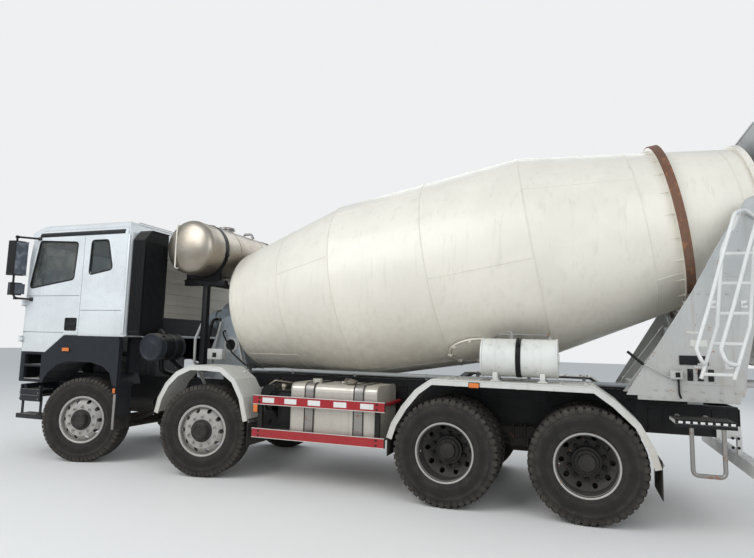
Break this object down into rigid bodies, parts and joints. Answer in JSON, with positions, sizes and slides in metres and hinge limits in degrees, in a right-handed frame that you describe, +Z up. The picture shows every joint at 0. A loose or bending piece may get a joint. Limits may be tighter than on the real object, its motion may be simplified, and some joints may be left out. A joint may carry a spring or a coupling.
{
  "type": "concrete mixer truck",
  "caption": "Concrete mixer truck with a tilting cab, two steered front axles, a twin-wheel tandem and an inclined rotating drum.",
  "frame": {"origin": "middle of the truck's bounding box, on the ground", "axes": "+X forward, +Y to the left, +Z up"},
  "size_m": [9.775, 2.956, 3.93],
  "materials": {
    "chassis_black": "satin black, dusty",
    "axle_black": "rough, oily dust",
    "mixer_grey": "weathered grey paint",
    "hopper_grey": "grey paint with cement residue",
    "engine_iron": "rough",
    "bumper_grey": "grained dark grey",
    "tank_alloy": "brushed, dusty",
    "gear_black": "satin black",
    "guard_red": "gloss red",
    "fender_white": "dusty white",
    "water_steel": "brushed stainless",
    "wash_white": "dusty white",
    "ladder_white": "white paint",
    "lamp_amber": "amber lens",
    "cab_paint": "gloss white, dusty",
    "glass": "clear, dusty",
    "seat_fabric": "woven",
    "dash_plastic": "grained",
    "mirror_black": "grained black",
    "drum_paint": "off-white, weathered",
    "ring_steel": "rusty rolled steel",
    "roller_steel": "worn steel",
    "rim_silver": "silver, dusty",
    "tyre_rubber": "dusty black rubber"
  },
  "bodies": {
    "chassis": {"frame_rails": "chassis_black", "mixer_subframe": "mixer_grey", "front_axles": "axle_black", "rear_axles": "axle_black", "powertrain": "engine_iron", "bumper": "bumper_grey", "fuel_tank": "tank_alloy", "side_gear": "gear_black", "side_guards": "guard_red", "fenders": "fender_white", "water_tank": "water_steel", "wash_tank": "wash_white", "drum_drive": "mixer_grey", "rear_pedestal": "mixer_grey", "hopper": "hopper_grey", "ladder": "ladder_white", "lamps": "lamp_amber", "air_intake": "gear_black"},
    "cab": {"cab_shell": "cab_paint", "cab_glass": "glass", "cab_trim": "bumper_grey", "front_flares": "bumper_grey", "seats": "seat_fabric", "dashboard": "dash_plastic"},
    "door_left": {"door_left": "cab_paint", "door_glass_left": "glass", "mirror_left": "mirror_black"},
    "door_right": {"door_right": "cab_paint", "door_glass_right": "glass", "mirror_right": "mirror_black"},
    "knuckle_1l": {"knuckle_1l": "axle_black"},
    "knuckle_1r": {"knuckle_1r": "axle_black"},
    "knuckle_2l": {"knuckle_2l": "axle_black"},
    "knuckle_2r": {"knuckle_2r": "axle_black"},
    "tie_rod_1": {"tie_rod_1": "axle_black"},
    "tie_rod_2": {"tie_rod_2": "axle_black"},
    "wheel_1l": {"rim_1l": "rim_silver", "tyre_1l": "tyre_rubber"},
    "wheel_1r": {"rim_1r": "rim_silver", "tyre_1r": "tyre_rubber"},
    "wheel_2l": {"rim_2l": "rim_silver", "tyre_2l": "tyre_rubber"},
    "wheel_2r": {"rim_2r": "rim_silver", "tyre_2r": "tyre_rubber"},
    "wheel_3l": {"rim_3l": "rim_silver", "tyre_3l": "tyre_rubber"},
    "wheel_3r": {"rim_3r": "rim_silver", "tyre_3r": "tyre_rubber"},
    "wheel_4l": {"rim_4l": "rim_silver", "tyre_4l": "tyre_rubber"},
    "wheel_4r": {"rim_4r": "rim_silver", "tyre_4r": "tyre_rubber"},
    "mixer_drum": {"drum": "drum_paint", "track_ring": "ring_steel"},
    "roller_left": {"roller_left": "roller_steel"},
    "roller_right": {"roller_right": "roller_steel"},
    "chute_swivel": {"chute_swivel": "hopper_grey"},
    "chute": {"chute": "hopper_grey"}
  },
  "joints": [
    {"name": "cab_tilt", "type": "hinge", "parent": "chassis", "child": "cab", "pos_m": [4.7525, 0, 1.03], "axis": [0, 1, 0], "range_deg": [0, 50]},
    {"name": "door_left_hinge", "type": "hinge", "parent": "cab", "child": "door_left", "pos_m": [4.7615, 1.237, 1.8], "axis": [0, 0, -1], "range_deg": [0, 70]},
    {"name": "door_right_hinge", "type": "hinge", "parent": "cab", "child": "door_right", "pos_m": [4.7615, -1.237, 1.8], "axis": [0, 0, 1], "range_deg": [0, 70]},
    {"name": "steer_1l", "type": "hinge", "parent": "chassis", "child": "knuckle_1l", "pos_m": [3.6725, 0.93, 0.538], "axis": [0, 0, 1], "range_deg": [-48.7, 15.3]},
    {"name": "steer_1r", "type": "hinge", "parent": "chassis", "child": "knuckle_1r", "pos_m": [3.6725, -0.93, 0.538], "axis": [0, 0, 1], "range_deg": [-48.8, 15.4]},
    {"name": "tie_rod_1_pivot", "type": "hinge", "parent": "knuckle_1l", "child": "tie_rod_1", "pos_m": [3.50392, 0.87943, 0.421], "axis": [0, 0, 1], "range_deg": [-15.4, 48.8]},
    {"name": "wheel_1l_spin", "type": "hinge", "parent": "knuckle_1l", "child": "wheel_1l", "pos_m": [3.63227, 1.0641, 0.538], "axis": [-0.2874, 0.9578, 0], "continuous": true},
    {"name": "wheel_1r_spin", "type": "hinge", "parent": "knuckle_1r", "child": "wheel_1r", "pos_m": [3.71273, -1.0641, 0.538], "axis": [-0.2874, 0.9578, 0], "continuous": true},
    {"name": "steer_2l", "type": "hinge", "parent": "chassis", "child": "knuckle_2l", "pos_m": [1.7725, 0.93, 0.538], "axis": [0, 0, 1], "range_deg": [-31.75, 10.04]},
    {"name": "steer_2r", "type": "hinge", "parent": "chassis", "child": "knuckle_2r", "pos_m": [1.7725, -0.93, 0.538], "axis": [0, 0, 1], "range_deg": [-31.75, 10.04]},
    {"name": "tie_rod_2_pivot", "type": "hinge", "parent": "knuckle_2l", "child": "tie_rod_2", "pos_m": [1.59965, 0.89685, 0.421], "axis": [0, 0, 1], "range_deg": [-10.04, 31.75]},
    {"name": "wheel_2l_spin", "type": "hinge", "parent": "knuckle_2l", "child": "wheel_2l", "pos_m": [1.74613, 1.0675, 0.538], "axis": [-0.1883, 0.9821, 0], "continuous": true},
    {"name": "wheel_2r_spin", "type": "hinge", "parent": "knuckle_2r", "child": "wheel_2r", "pos_m": [1.79886, -1.0675, 0.538], "axis": [-0.1883, 0.9821, 0], "continuous": true},
    {"name": "wheel_3l_spin", "type": "hinge", "parent": "chassis", "child": "wheel_3l", "pos_m": [-1.2075, 0.92, 0.538], "axis": [0, 1, 0], "continuous": true},
    {"name": "wheel_3r_spin", "type": "hinge", "parent": "chassis", "child": "wheel_3r", "pos_m": [-1.2075, -0.92, 0.538], "axis": [0, 1, 0], "continuous": true},
    {"name": "wheel_4l_spin", "type": "hinge", "parent": "chassis", "child": "wheel_4l", "pos_m": [-2.5575, 0.92, 0.538], "axis": [0, 1, 0], "continuous": true},
    {"name": "wheel_4r_spin", "type": "hinge", "parent": "chassis", "child": "wheel_4r", "pos_m": [-2.5575, -0.92, 0.538], "axis": [0, 1, 0], "continuous": true},
    {"name": "drum_spin", "type": "hinge", "parent": "chassis", "child": "mixer_drum", "pos_m": [1.6835, 0, 2.042], "axis": [-0.9842, 0, 0.1771], "continuous": true},
    {"name": "roller_left_spin", "type": "hinge", "parent": "chassis", "child": "roller_left", "pos_m": [-3.60612, 0.58674, 2.07574], "axis": [-0.9842, 0, 0.1771], "continuous": true},
    {"name": "roller_right_spin", "type": "hinge", "parent": "chassis", "child": "roller_right", "pos_m": [-3.60612, -0.58674, 2.07574], "axis": [-0.9842, 0, 0.1771], "continuous": true},
    {"name": "chute_slew", "type": "hinge", "parent": "chassis", "child": "chute_swivel", "pos_m": [-4.5375, 0, 1.56], "axis": [0, 0, -1], "range_deg": [0, 180]},
    {"name": "chute_luff", "type": "hinge", "parent": "chute_swivel", "child": "chute", "pos_m": [-4.5375, 0, 1.56], "axis": [1, 0, 0], "range_deg": [-18, 22]}
  ],
  "couplings": [
    {"joint": "steer_1r", "follows": "steer_1l", "ratio": 1},
    {"joint": "tie_rod_1_pivot", "follows": "steer_1l", "ratio": -1},
    {"joint": "steer_2l", "follows": "steer_1l", "ratio": 0.65},
    {"joint": "steer_2r", "follows": "steer_1l", "ratio": 0.65},
    {"joint": "tie_rod_2_pivot", "follows": "steer_1l", "ratio": -0.65},
    {"joint": "roller_left_spin", "follows": "drum_spin", "ratio": -7.616},
    {"joint": "roller_right_spin", "follows": "drum_spin", "ratio": -7.616}
  ]
}
